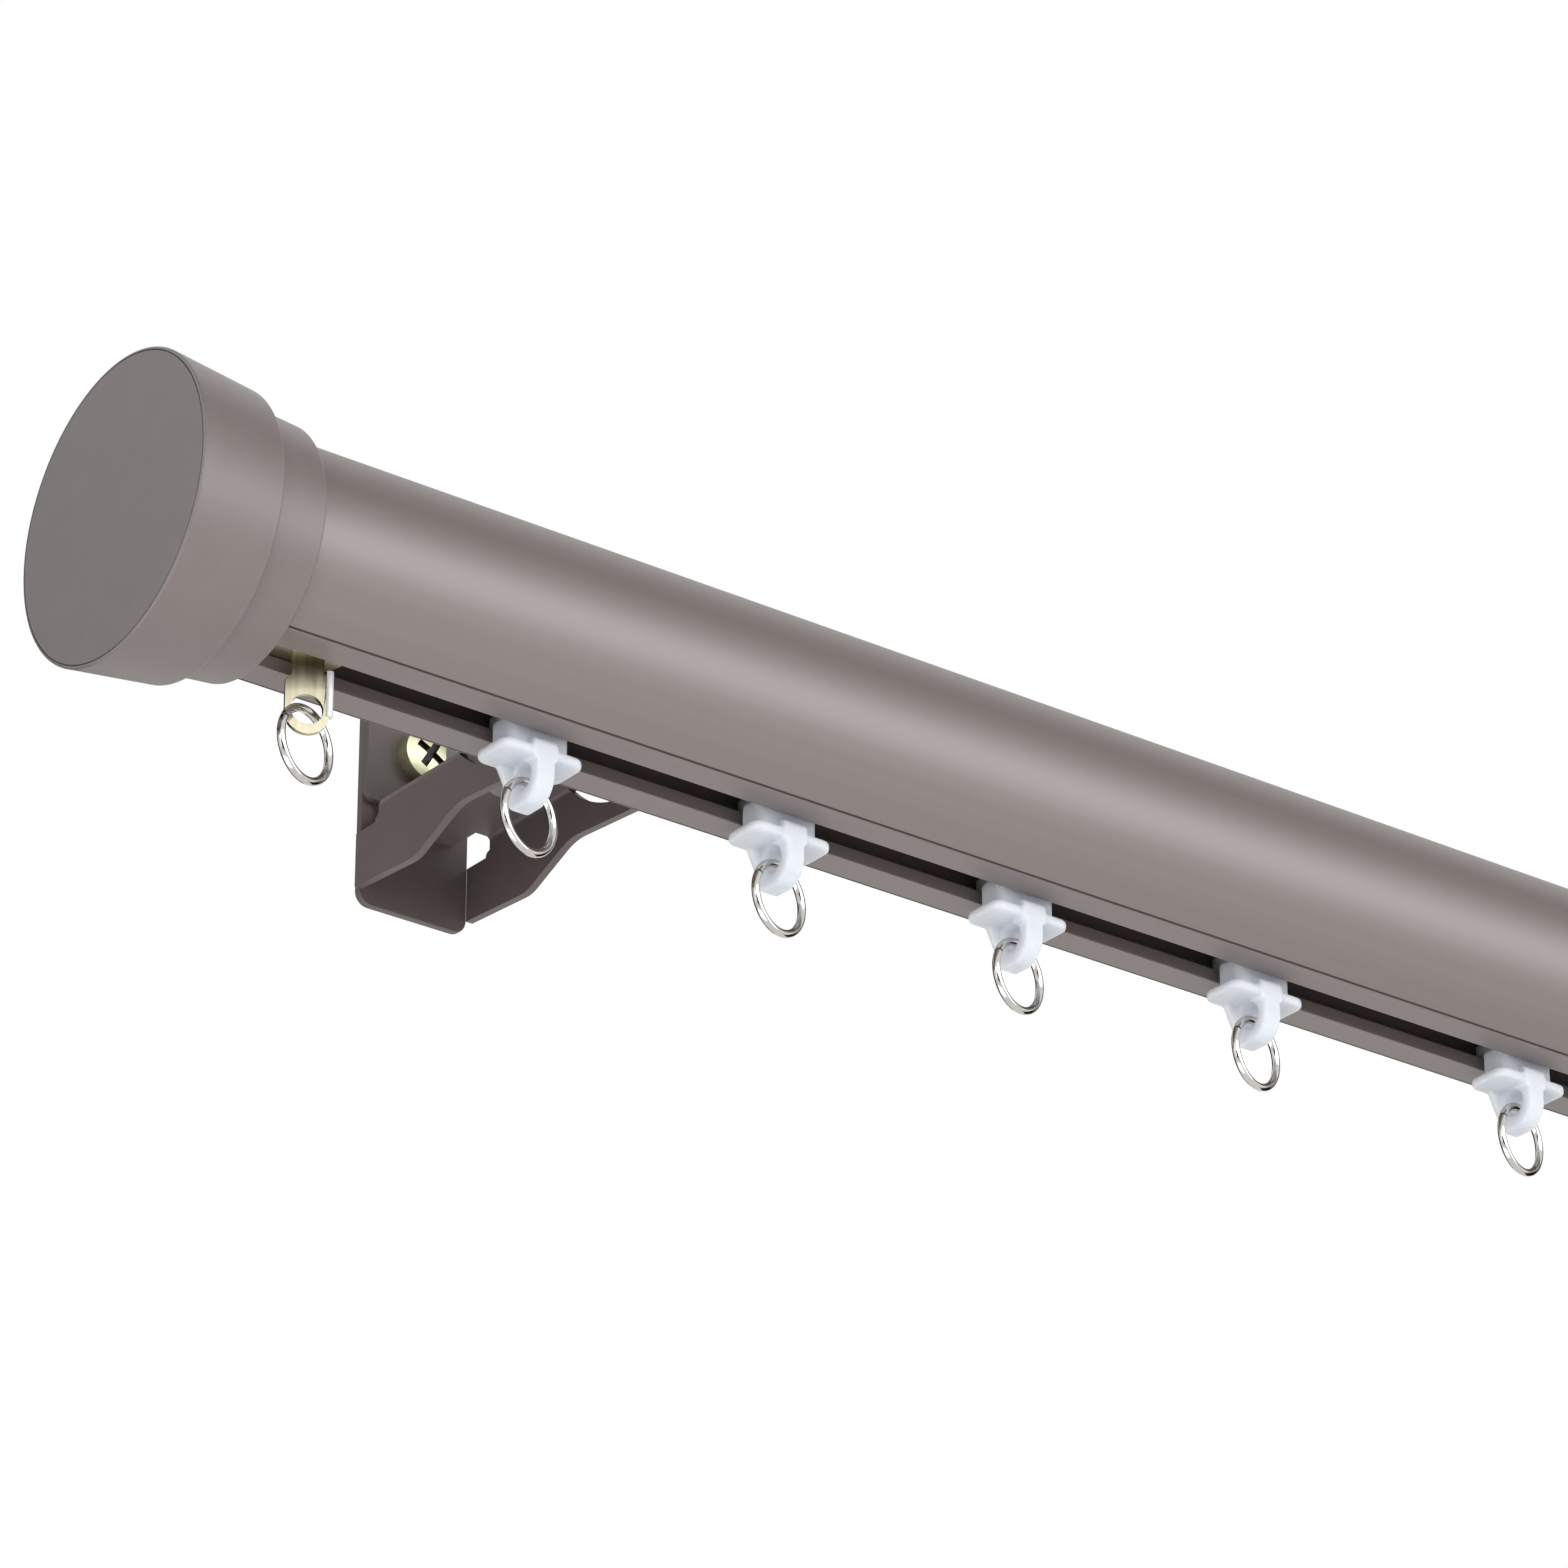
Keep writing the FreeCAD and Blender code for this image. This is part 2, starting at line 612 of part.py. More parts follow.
def make_screw(label, along, height):
    """A pan head cross screw: a thin neck through flange and plate, and a thicker shank in the wall."""
    body = new_body(label, along)
    seat = "(rail_reach - 2 * sheet_thick)"
    body.setExpression(".Placement.Base.y", named("-rail_reach + " + seat))
    body.setExpression(".Placement.Base.z", named("-" + AXIS_DROP + " + " + height))
    body.Placement.Rotation = FreeCAD.Rotation(FreeCAD.Vector(0, 1, 0), size("cross_turn"))
    body.setExpression(".Placement.Rotation.Angle", named("cross_turn"))
    wall = "2 * sheet_thick"
    tip = wall + " + screw_long"
    profile = new_sketch(body, "XY", "profile")
    outline(profile, [("0", "-screw_rim - screw_dome"), ("screw_head", "-screw_rim"), ("screw_head", "0"),
                      ("screw_neck", "0"), ("screw_neck", wall), ("screw_radius", wall),
                      ("screw_radius", tip + " - screw_point"), ("0", tip)],
            arcs={0: ("(screw_head * screw_head + screw_dome * screw_dome) / (2 * screw_dome)", -1)})
    revolution(body, profile, "V_Axis")
    start = "screw_rim + screw_dome - cross_deep"
    for name, wide, tall in (("cross_level", "cross_reach", "cross_half"),
                             ("cross_upright", "cross_half", "cross_reach")):
        arm = rectangle(new_sketch(body, "XZ", name, start), "-" + wide, wide, "-" + tall, tall)
        pocket(body, arm, "2 * cross_deep")
    return body


def make_screws(label, along):
    """The two wall screws of one bracket, kept together as one group."""
    group = doc.addObject("Part::Compound", label)
    group.Label = label
    low = make_screw(label + "_low", along, "screw_low")
    high = make_screw(label + "_high", along, "screw_high")
    group.Links = [low, high]
    return group


fill_sheet()
LEFT = "-rail_span / 2 + "
RIGHT = "rail_span / 2 - "
RUNNERS = [LEFT + "runner_one", LEFT + "runner_two", LEFT + "runner_three", LEFT + "runner_four",
           LEFT + "runner_five", RIGHT + "runner_three", RIGHT + "runner_two", RIGHT + "runner_one"]

pieces = [make_rail()]
for side, away, turn, mirror in (("left", LEFT, "0", "1"), ("right", RIGHT, "180", "-1")):
    pieces.append(make_cap("end_cap_" + side, away + "0", turn))
    pieces.append(make_eye("end_eye_" + side, away + "eye_place", mirror + " * eye_yaw"))
    pieces.append(make_ring("end_ring_" + side, away + "eye_place", mirror + " * end_ring_yaw"))
    pieces.append(make_wall_plate("wall_plate_" + side, away + "bracket_place"))
    pieces.append(make_bracket("bracket_" + side, away + "bracket_place"))
    pieces.append(make_clip("rail_clip_" + side, away + "bracket_place"))
    pieces.append(make_bolt("clip_bolt_" + side, away + "bracket_place"))
    pieces.append(make_screws("wall_screws_" + side, away + "bracket_place"))
for number, place in enumerate(RUNNERS, start=1):
    pieces.append(make_runner("runner_%d" % number, place))
    pieces.append(make_ring("runner_ring_%d" % number, place, "ring_yaw"))
doc.recompute()

for item in doc.Objects:
    if "Invalid" in item.State or "Error" in item.State:
        raise RuntimeError("failed object: " + item.Name)
for piece in pieces:
    if piece.Shape.isNull() or not piece.Shape.isValid():
        raise RuntimeError("bad shape: " + piece.Label)

os.makedirs("parts", exist_ok=True)
for piece in pieces:
    piece.Shape.exportStep("parts/" + piece.Label + ".step")
    print("%-20s %d solid(s) %10.2f mm3" % (piece.Label, len(piece.Shape.Solids), piece.Shape.Volume))
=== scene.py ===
# %% [markdown]
# # Curtain track
# This notebook dresses a curtain track that hangs under two wall brackets.
# The frame brings in the solid model: every piece at its real size, in metres, with X along the rail.
# The wall is the plane Y = 0, the room is on the side of -Y, and Z points up.

# %% Load the packed frame
import json
import math

import bmesh
import bpy
from mathutils import Matrix, Vector


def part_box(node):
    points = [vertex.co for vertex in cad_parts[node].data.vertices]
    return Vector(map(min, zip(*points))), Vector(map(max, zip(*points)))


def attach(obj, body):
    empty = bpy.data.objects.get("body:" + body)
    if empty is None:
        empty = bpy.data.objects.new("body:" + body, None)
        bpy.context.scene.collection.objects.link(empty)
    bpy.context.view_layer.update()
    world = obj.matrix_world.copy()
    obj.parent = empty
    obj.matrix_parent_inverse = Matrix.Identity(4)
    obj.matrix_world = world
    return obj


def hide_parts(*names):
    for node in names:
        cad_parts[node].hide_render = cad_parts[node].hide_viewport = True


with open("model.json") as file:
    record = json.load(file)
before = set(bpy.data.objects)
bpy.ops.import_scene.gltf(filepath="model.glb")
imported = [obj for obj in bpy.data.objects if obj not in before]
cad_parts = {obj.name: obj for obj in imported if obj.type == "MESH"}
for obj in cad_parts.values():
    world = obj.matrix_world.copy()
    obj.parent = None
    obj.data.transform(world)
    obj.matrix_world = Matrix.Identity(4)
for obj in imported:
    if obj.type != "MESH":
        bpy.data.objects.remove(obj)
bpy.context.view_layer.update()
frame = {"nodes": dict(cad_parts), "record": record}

nodes = frame["nodes"]
print(len(nodes), "pieces in the frame")

# %% [markdown]
# ## The sizes that everything else is drawn from
# The rail, its caps and its slot all share one axis, so the left cap's box gives that axis and the span.
# Sizes inside the section can't be read from a box.
# They are written in millimetres where a piece first needs them, and turned into metres there.

# %% The rail's axis and span
MM = 0.001
cap_low, cap_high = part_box("end_cap_left")
drum_radius = (cap_high.y - cap_low.y) / 2
axis_y = (cap_high.y + cap_low.y) / 2
axis_z = cap_high.z - drum_radius
rail_low, rail_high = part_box("rail")
rail_radius = axis_y - rail_low.y
rail_end = -cap_low.x
print("axis at", round(axis_y, 4), round(axis_z, 4), "rail radius", round(rail_radius, 4))

# %% [markdown]
# ## The camera
# The photograph looks up at the left end from the front with a long lens, so lines stay almost parallel.
# The camera is placed by its own position and two angles, which keeps the lens unshifted for other views.

# %% The camera
camera_place = Vector((-0.6689, -0.6516, -0.3944))
look_up = math.radians(26.126)
look_right = math.radians(37.372)

scene = bpy.context.scene
camera_data = bpy.data.cameras.new("camera")
camera_data.sensor_width = 36.0
camera_data.lens = 163.632
camera = bpy.data.objects.new("camera", camera_data)
camera.location = camera_place
camera.rotation_euler = (math.radians(90) + look_up, 0.0, -look_right)
scene.collection.objects.link(camera)
bpy.context.scene.camera = camera
print("camera", round((Vector((cap_low.x, axis_y, axis_z)) - camera_place).length, 3), "m from the cap")

# %% [markdown]
# ## A small language for nodes
# Node trees are hard to read as lists of links, so one class wraps a socket and lets Python write the sums.
# `1 - mask`, `grain * 0.3 + 0.2` or `height < 0.5` then add their Math nodes by themselves.
# A comparison gives a mask, which is 1 where it holds and 0 elsewhere, and `one | other` joins two masks.

# %% Sockets that can be added, multiplied and compared


class Value:
    """One output of a node in a graph; a sum on it adds a Math node."""

    def __init__(self, graph, socket):
        self.graph, self.socket = graph, socket

    def sum(self, operation, first, second=0.0):
        return self.graph.node("Math", {"operation": operation}, {0: first, 1: second})

    def __add__(self, other):
        return self.sum("ADD", self, other)

    def __sub__(self, other):
        return self.sum("SUBTRACT", self, other)

    def __rsub__(self, other):
        return self.sum("SUBTRACT", other, self)

    def __mul__(self, other):
        return self.sum("MULTIPLY", self, other)

    def __or__(self, other):
        return self.sum("MAXIMUM", self, other)

    def __abs__(self):
        return self.sum("ABSOLUTE", self)

    def __lt__(self, other):
        return self.sum("LESS_THAN", self, other)

    def __gt__(self, other):
        return self.sum("GREATER_THAN", self, other)

    __radd__ = __add__
    __rmul__ = __mul__


print("sockets can be added, multiplied and compared")

# %% [markdown]
# ## A graph of nodes
# The room and every finish have a tree of nodes each, so one class adds nodes to whichever tree it is given.
# A node is asked for by its kind, its settings and what feeds its sockets.

# %% A graph that any node can be added to


class Graph:
    """A tree of nodes, and one method that adds any node to it."""

    def __init__(self, tree):
        self.tree = tree

    def node(self, kind, settings=None, sockets=None, out=0):
        """Add a node of a kind, with its settings and what feeds its sockets; one output comes back."""
        made = self.tree.nodes.new("ShaderNode" + kind)
        for name, value in (settings or {}).items():
            setattr(made, name, value)
        for name, value in (sockets or {}).items():
            self.feed(made.inputs[name], value)
        return Value(self, made.outputs[out])

    def feed(self, socket, value):
        """Link another node's output to a socket, or write a plain number or colour on it."""
        if isinstance(value, Value):
            self.tree.links.new(value.socket, socket)
        else:
            socket.default_value = value

    def ray(self, kind):
        """A mask that is 1 for rays of one kind: Camera, Glossy or Transmission."""
        return self.node("LightPath", out="Is " + kind + " Ray")


print("a graph can be given any node")

# %% [markdown]
# ## The room
# The photograph has a plain white background, so rays that come straight from the camera, or off metal,
# see white. Light Path tells such rays apart.
# All the others get a weaker, even light that fills the shadows.

# %% White behind, weaker light around
fill_light = 0.62
white = (1.0, 1.0, 1.0, 1.0)

scene.view_settings.view_transform = "Standard"
world = bpy.data.worlds.new("studio")
world.use_nodes = True
scene.world = world
room = Graph(world.node_tree)
background = world.node_tree.nodes["Background"]
seen = room.ray("Camera") | room.ray("Glossy") | room.ray("Transmission")
room.feed(background.inputs["Color"], white)
room.feed(background.inputs["Strength"], seen * (1 - fill_light) + fill_light)
print("world strength", fill_light, "for diffuse rays")

# %% [markdown]
# ## Lamps
# A satin round rail shows one broad soft highlight along its front, a little above the middle.
# A long and tall soft box in front of the rail makes that highlight, so it lies parallel to X.
# A weak box at the left lights the cap's flat end, and another under the rail lights the strips by the slot.
# All three are slightly blue, because the photograph's highlights are cooler than the lacquer.

# %% Soft boxes
cool_white = (0.90, 0.95, 1.0)


def soft_box(name, place, aim, wide, tall, watts):
    """A rectangular lamp at a place, turned to shine at a point."""
    data = bpy.data.lights.new(name, "AREA")
    data.shape = "RECTANGLE"
    data.size, data.size_y, data.energy = wide, tall, watts
    data.color = cool_white
    lamp = bpy.data.objects.new(name, data)
    lamp.location = place
    lamp.rotation_euler = (Vector(aim) - Vector(place)).to_track_quat("-Z", "Y").to_euler()
    scene.collection.objects.link(lamp)


def rail_at(along):
    """The point on the rail's axis at a distance from its middle."""
    return along, axis_y, axis_z


soft_box("front_box", (0.2, -1.5, 0.24), rail_at(0.0), wide=2.6, tall=0.8, watts=21.0)
soft_box("side_box", (-1.6, -0.6, -0.1), rail_at(-0.3), wide=0.9, tall=0.9, watts=2.6)
soft_box("low_box", (-0.5, -0.2, -0.7), rail_at(-0.2), wide=1.2, tall=0.6, watts=5.0)
print(len(bpy.data.lights), "soft boxes")

# %% [markdown]
# ## Black flags
# Bright metal only looks like metal when it has something dark to reflect.
# A photographer hangs black cards around such an object, out of the picture, so this scene does too.
# They are seen by reflections only and throw no shade.

# %% Cards that only reflections see


def card(name, place, wide, tall, turn=(0.0, 0.0, 0.0)):
    """A flat card about a place; it starts level and is then turned about X, Y and Z by degrees."""
    mesh = bmesh.new()
    bmesh.ops.create_grid(mesh, x_segments=1, y_segments=1, size=0.5)
    bmesh.ops.scale(mesh, vec=(wide, tall, 1.0), verts=mesh.verts[:])
    for axis, angle in zip("XYZ", turn):
        bmesh.ops.rotate(mesh, matrix=Matrix.Rotation(math.radians(angle), 3, axis), verts=mesh.verts[:])
    bmesh.ops.translate(mesh, vec=place, verts=mesh.verts[:])
    data = bpy.data.meshes.new(name)
    mesh.to_mesh(data)
    mesh.free()
    made = bpy.data.objects.new(name, data)
    scene.collection.objects.link(made)
    return made


flags = [card("flag_above", (0.0, -0.5, 0.9), wide=3.0, tall=0.8),
         card("flag_right", (1.1, 0.05, -0.2), wide=1.4, tall=1.0, turn=(0.0, 90.0, 0.0)),
         card("flag_behind", (-0.45, 1.1, 0.1), wide=1.6, tall=1.4, turn=(90.0, 0.0, 0.0)),
         card("flag_camera", (-1.35, -1.25, -0.6), wide=1.5, tall=1.2, turn=(64.0, 0.0, -37.0))]
for flag in flags:
    flag.visible_camera = flag.visible_diffuse = flag.visible_transmission = flag.visible_shadow = False
print(len(flags), "flags")

# %% [markdown]
# ## The floor
# The track is seen from below, so the floor never stands behind it in the main view.
# It lies well under the camera, where it catches a soft shadow in views from above.

# %% The floor
floor_drop, floor_wide = 0.75, 6.0
floor = card("floor", (0.0, 0.0, -floor_drop), floor_wide, floor_wide)
print("floor", floor_drop, "m below the wall screws")

# %% [markdown]
# ## A finish
# A finish is one material with the main surface shader, which can stand for metal, plastic or paper.
# It is a graph too, and a few short methods add what most finishes here share.
# Those are a coordinate, a noise, a colour between two others and a bump.
# Everything reads Object coordinates, so a pattern has a real size and moves along with its piece.

# %% One finish with its shader


def socket_name(word):
    """The shader's own name for a socket: specular_ior_level becomes Specular IOR Level."""
    return word.replace("_", " ").title().replace("Ior", "IOR")


class Finish(Graph):
    """A material with its main shader, whose sockets are set by their names in small letters."""

    def __init__(self, name, **shader):
        self.name = name
        self.material = bpy.data.materials.new(name)
        self.material.use_nodes = True
        super().__init__(self.material.node_tree)
        self.shader = self.tree.nodes["Principled BSDF"]
        self.place = self.node("TexCoord", out="Object")
        self.set(**shader)

    def set(self, **shader):
        """Feed the main shader's sockets."""
        for socket, value in shader.items():
            self.feed(self.shader.inputs[socket_name(socket)], value)

    def along(self, letter):
        """The coordinate along one axis, in metres."""
        return self.node("SeparateXYZ", sockets={"Vector": self.place}, out=letter)

    def noise(self, scale, stretch=(1.0, 1.0, 1.0), detail=3.0):
        """Soft noise of about 1/scale metres, squeezed or stretched along the axes."""
        mapped = self.node("Mapping", sockets={"Vector": self.place, "Scale": stretch})
        return self.node("TexNoise", sockets={"Vector": mapped, "Scale": scale, "Detail": detail})

    def between(self, share, first, second):
        """A colour that goes from the first to the second with a share."""
        return self.node("Mix", {"data_type": "RGBA"}, {0: share, 6: first, 7: second}, out=2)

    def bump(self, height, distance, strength=1.0):
        """Dents of a depth in metres, read from a height between 0 and 1."""
        return self.node("Bump", sockets={"Height": height, "Distance": distance, "Strength": strength})

    def mix(self, share, other):
        """Show another shader instead of the main one, by a share."""
        main = Value(self, self.shader.outputs[0])
        both = self.node("MixShader", sockets={0: share, 1: main, 2: other})
        self.feed(self.tree.nodes["Material Output"].inputs["Surface"], both)


print("a finish has", len([name for name in vars(Finish) if not name.startswith("_")]), "methods")

# %% [markdown]
# ## Colours as they are seen
# A colour is easiest to name as a screen shows it, with red, green and blue from 0 to 255.
# The renderer reckons in linear light, so one function turns the screen's curve back.

# %% Colours


def colour(red, green, blue):
    """A colour written as it is seen, from 0 to 255, turned into the renderer's linear numbers."""
    parts = [value / 255 for value in (red, green, blue)]
    return tuple(part / 12.92 if part < 0.04045 else ((part + 0.055) / 1.055) ** 2.4
                 for part in parts) + (1.0,)


print("a middle grey of 128 is", round(colour(128, 128, 128)[0], 3), "in linear light")

# %% [markdown]
# ## The lacquered aluminium of the rail
# The rail is an extrusion with a satin lacquer that holds a fine metallic flake.
# Long faint streaks run with the extrusion, so their noise is stretched along X.
# A very fine grain breaks the gloss.
# The channel above the slot is painted darker, as painted shade for the shadow inside it.
# A box just round the channel's walls marks them.

# %% Rail lacquer
channel_top, channel_floor, channel_side = 6.2 * MM, 10.3 * MM, 5.8 * MM
channel_shade_share = 0.5

rail_coat = Finish("rail_coat", metallic=0.15, specular_ior_level=1.0)
streaks = rail_coat.noise(900.0, (0.004, 1.0, 1.0), detail=2.0)
flake = rail_coat.noise(4200.0, detail=1.0)
tone = streaks * 0.5 + flake * 0.5
coat = rail_coat.between(tone, colour(107, 96, 92), colour(122, 110, 106))
height, depth = rail_coat.along("Z"), rail_coat.along("Y")
low_half = height < axis_z - channel_top
above_lip = height > axis_z - channel_floor
near_middle = abs(depth - axis_y) < channel_side
in_shaded_hollow = low_half * above_lip * near_middle
# Inside the channel the base colour turns towards a dark brown, which is painted shade.
rail_coat.set(base_color=rail_coat.between(in_shaded_hollow * channel_shade_share, coat, colour(40, 34, 32)),
              roughness=streaks * 0.06 + flake * 0.08 + 0.36,
              normal=rail_coat.bump(flake, 0.00001, 0.35))
print("rail lacquer with", len(rail_coat.tree.nodes), "nodes")

# %% [markdown]
# ## The lacquered caps
# The caps carry the same lacquer over a smooth round body, so they have no streaks.
# A slightly larger, softer unevenness stands for the flow of the lacquer.
# The end disc is given a lighter, greyer colour than the drum round it, which is painted light that
# brightens the flat end.
# Whatever lies within a tenth of a millimetre of the flat end counts as the disc.

# %% Cap lacquer
disc_thin = 0.1 * MM

cap_coat = Finish("cap_coat", metallic=0.08, specular_ior_level=0.4)
flake = cap_coat.noise(4200.0, detail=1.0)
flow = cap_coat.noise(260.0, detail=2.0)
tone = flake * 0.6 + flow * 0.4
on_disc = abs(cap_coat.along("X")) > rail_end - disc_thin
drum_tone = cap_coat.between(tone, colour(110, 100, 97), colour(124, 113, 110))
# The flat end takes the lighter colour, which is painted light.
disc_painted_lighter = cap_coat.between(tone, colour(118, 111, 109), colour(131, 124, 121))
cap_coat.set(base_color=cap_coat.between(on_disc, drum_tone, disc_painted_lighter),
             roughness=flow * 0.08 + flake * 0.06 + 0.31,
             normal=cap_coat.bump(flow, 0.00006, 0.5))
print("cap lacquer with", len(cap_coat.tree.nodes), "nodes")

# %% [markdown]
# ## The bracket's darker lacquer
# The brackets are folded steel under a darker and duller coat of the same colour.

# %% Bracket lacquer
bracket_coat = Finish("bracket_coat", metallic=0.15)
flake = bracket_coat.noise(3500.0, detail=1.0)
flow = bracket_coat.noise(180.0, detail=3.0)
tone = flow * 0.5 + flake * 0.5
bracket_coat.set(base_color=bracket_coat.between(tone, colour(86, 75, 72), colour(104, 93, 89)),
                 roughness=flow * 0.10 + flake * 0.08 + 0.36,
                 normal=bracket_coat.bump(flow, 0.00005, 0.6))
print("bracket lacquer with", len(bracket_coat.tree.nodes), "nodes")

# %% [markdown]
# ## Zinc on the clips and their bolts
# The clip that grips the rail's back groove and its bolt are plated with plain zinc.
# A cloudy noise feeds both colour and gloss, because zinc goes on as fine crystals of uneven size.

# %% Clip metal
clip_metal = Finish("clip_metal", metallic=1.0)
cloud = clip_metal.noise(900.0, detail=3.0)
clip_metal.set(base_color=clip_metal.between(cloud, colour(150, 150, 150), colour(186, 185, 182)),
               roughness=cloud * 0.2 + 0.25, normal=clip_metal.bump(cloud, 0.00002, 0.5))
print("clip metal")

# %% [markdown]
# ## Yellow zinc on the wall screws
# Screws for walls are often plated with yellow zinc, a pale metal with a warm tint.
# Their cross recess gets a dark finish of its own, which is painted shade for the shadow in the recess.

# %% Screw zinc and the painted shade of its recess
screw_zinc = Finish("screw_zinc", metallic=1.0)
cloud = screw_zinc.noise(500.0, detail=2.0)
screw_zinc.set(base_color=screw_zinc.between(cloud, colour(224, 220, 170), colour(240, 240, 208)),
               roughness=cloud * 0.15 + 0.3, normal=screw_zinc.bump(cloud, 0.00003, 0.4))

screw_recess = Finish("screw_recess", metallic=0.2)
shade_mottle = screw_recess.noise(900.0, detail=3.0)
screw_recess.set(base_color=screw_recess.between(shade_mottle, colour(24, 20, 16), colour(52, 36, 24)),
                 roughness=shade_mottle * 0.2 + 0.35)
print("screw zinc and its recess")

# %% [markdown]
# ## The end eyes' strip
# The end eyes are cut from plated strip, and rolling leaves fine lines down its length.
# The noise is stretched along Z for them.
# The folded edge of each eye carries a painted highlight, which a pale second finish shows.

# %% Eye metal and the painted highlight on its hem
eye_metal = Finish("eye_metal", metallic=1.0)
brush = eye_metal.noise(2600.0, (1.0, 1.0, 0.05), detail=2.0)
eye_metal.set(base_color=eye_metal.between(brush, colour(168, 160, 136), colour(200, 191, 164)),
              roughness=brush * 0.2 + 0.22, normal=eye_metal.bump(brush, 0.00001, 0.6))

eye_hem = Finish("eye_hem", metallic=0.3)
highlight_mottle = eye_hem.noise(1500.0, (1.0, 1.0, 0.1), detail=2.0)
eye_hem.set(base_color=eye_hem.between(highlight_mottle, colour(214, 212, 206), colour(240, 239, 236)),
            roughness=highlight_mottle * 0.2 + 0.3)
print("eye metal and its hem")

# %% [markdown]
# ## Nickel on the rings
# The wire rings are the brightest metal on the track, so their roughness is low and hardly varies.

# %% Ring nickel
ring_nickel = Finish("ring_nickel", metallic=1.0)
cloud = ring_nickel.noise(1500.0, detail=2.0)
ring_nickel.set(base_color=ring_nickel.between(cloud, colour(188, 184, 178), colour(214, 211, 206)),
                roughness=cloud * 0.06 + 0.08, normal=ring_nickel.bump(cloud, 0.00002, 0.3))
print("ring nickel")

# %% [markdown]
# ## The runners' plastic
# The runners are moulded from a milky plastic.
# Light goes in at one place and comes out a few millimetres away, softened.
# Subsurface scattering does that, and its radius gives how far red, green and blue travel, in metres.
# Blue goes furthest, so thin walls look a little cool.

# %% Milky plastic
light_reach = (0.006, 0.0062, 0.007)

runner_plastic = Finish("runner_plastic", subsurface_weight=1.0, subsurface_radius=light_reach,
                        subsurface_scale=1.0, specular_ior_level=0.22)
cloud = runner_plastic.noise(400.0, detail=2.0)
milk = runner_plastic.between(cloud, colour(198, 200, 206), colour(208, 210, 216))
runner_plastic.set(base_color=milk, roughness=cloud * 0.1 + 0.48,
                   normal=runner_plastic.bump(cloud, 0.00004, 0.3))
print("milky plastic")

# %% [markdown]
# ## The floor's paper
# The floor is plain pale paper with the faintest mottle.
# The camera and reflections see it nearly as white as the background.
# It glows for them by a share under one, so it still keeps the track's shadow.

# %% Floor paper
glow_share = 0.85

floor_paper = Finish("floor_paper")
mottle = floor_paper.noise(12.0, detail=4.0)
floor_paper.set(base_color=floor_paper.between(mottle, colour(236, 236, 236), colour(244, 244, 244)),
                roughness=mottle * 0.1 + 0.8)
glow = floor_paper.node("Emission", sockets={"Color": white, "Strength": 1.0})
floor_paper.mix((floor_paper.ray("Camera") + floor_paper.ray("Glossy")) * glow_share, glow)
floor.data.materials.append(floor_paper.material)
print("floor paper")

# %% [markdown]
# ## The flags' felt
# A flag has to reflect almost nothing, so it is black felt with a short nap and no gloss.

# %% Black felt of the flags
flag_felt = Finish("flag_felt")
nap = flag_felt.noise(300.0, detail=2.0)
flag_felt.set(base_color=flag_felt.between(nap, colour(6, 6, 6), colour(14, 14, 14)),
              roughness=nap * 0.1 + 0.9)
for flag in flags:
    flag.data.materials.append(flag_felt.material)
print("flag felt on", len(flags), "flags")

# %% [markdown]
# ## Finishes on the frame's pieces
# Each piece of the frame names its finish by the slot that it was given when it was packed.
# A second piece with the same slot may carry a number after a dot, which is cut off here.

# %% Dress the frame
finishes = {finish.name: finish for finish in (rail_coat, cap_coat, bracket_coat, clip_metal, screw_zinc,
                                               eye_metal, ring_nickel, runner_plastic)}
for piece in nodes.values():
    name = piece.data.materials[0].name.split(".")[0]
    piece.data.materials[0] = finishes[name].material
print("dressed", len(nodes), "pieces")

# %% [markdown]
# ## Tools for new pieces
# Some pieces of the frame are made again, or copied and softened, because a real edge is never quite sharp.
# Such a piece lies where the old one lay, rides on the same body and takes the same finish.
# A smooth surface that turns at a sharp edge is marked there, so that the shading breaks only at that edge.

# %% From a bmesh to a piece of the track
weld, nearly_flat = 0.001 * MM, math.radians(0.5)
rides_on = {name: body for body, names in frame["record"]["behaviour"]["bodies"].items() for name in names}


def finished(mesh, name, node, finish, sharp=35.0):
    """A piece that stands for one piece of the frame, made from a bmesh that is then freed."""
    for face in mesh.faces:
        face.smooth = True
    for edge in mesh.edges:
        edge.smooth = edge.is_manifold and edge.calc_face_angle() < math.radians(sharp)
    data = bpy.data.meshes.new(name)
    mesh.to_mesh(data)
    mesh.free()
    data.materials.append(finish.material)
    piece = bpy.data.objects.new(name, data)
    scene.collection.objects.link(piece)
    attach(piece, rides_on[node])
    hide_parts(node)
    return piece


def made_whole(mesh):
    """Join the points that share a place, and the faces that share a plane."""
    bmesh.ops.remove_doubles(mesh, verts=mesh.verts[:], dist=weld)
    bmesh.ops.dissolve_limit(mesh, angle_limit=nearly_flat, verts=mesh.verts[:], edges=mesh.edges[:])
    return mesh


def merged_copy(node):
    """A copy of a frame's piece, whose loose triangles become whole faces."""
    mesh = bmesh.new()
    mesh.from_mesh(nodes[node].data)
    return made_whole(mesh)


def soften(piece, width, segments=3, sharp=35.0):
    """Round every sharp edge a little, as tumbling, lacquer or plating does."""
    bevel = piece.modifiers.new("soft_edges", "BEVEL")
    bevel.limit_method = "ANGLE"
    bevel.angle_limit = math.radians(sharp)
    bevel.width = width
    bevel.segments = segments
    bevel.harden_normals = True


# %% [markdown]
# ## A pen
# The rail and its caps are drawn as outlines and then grown into solids.
# A pen draws them: its lines are extruded points and its arcs are spun points.
# Spinning keeps each arc on its true circle.

# %% A pen for outlines


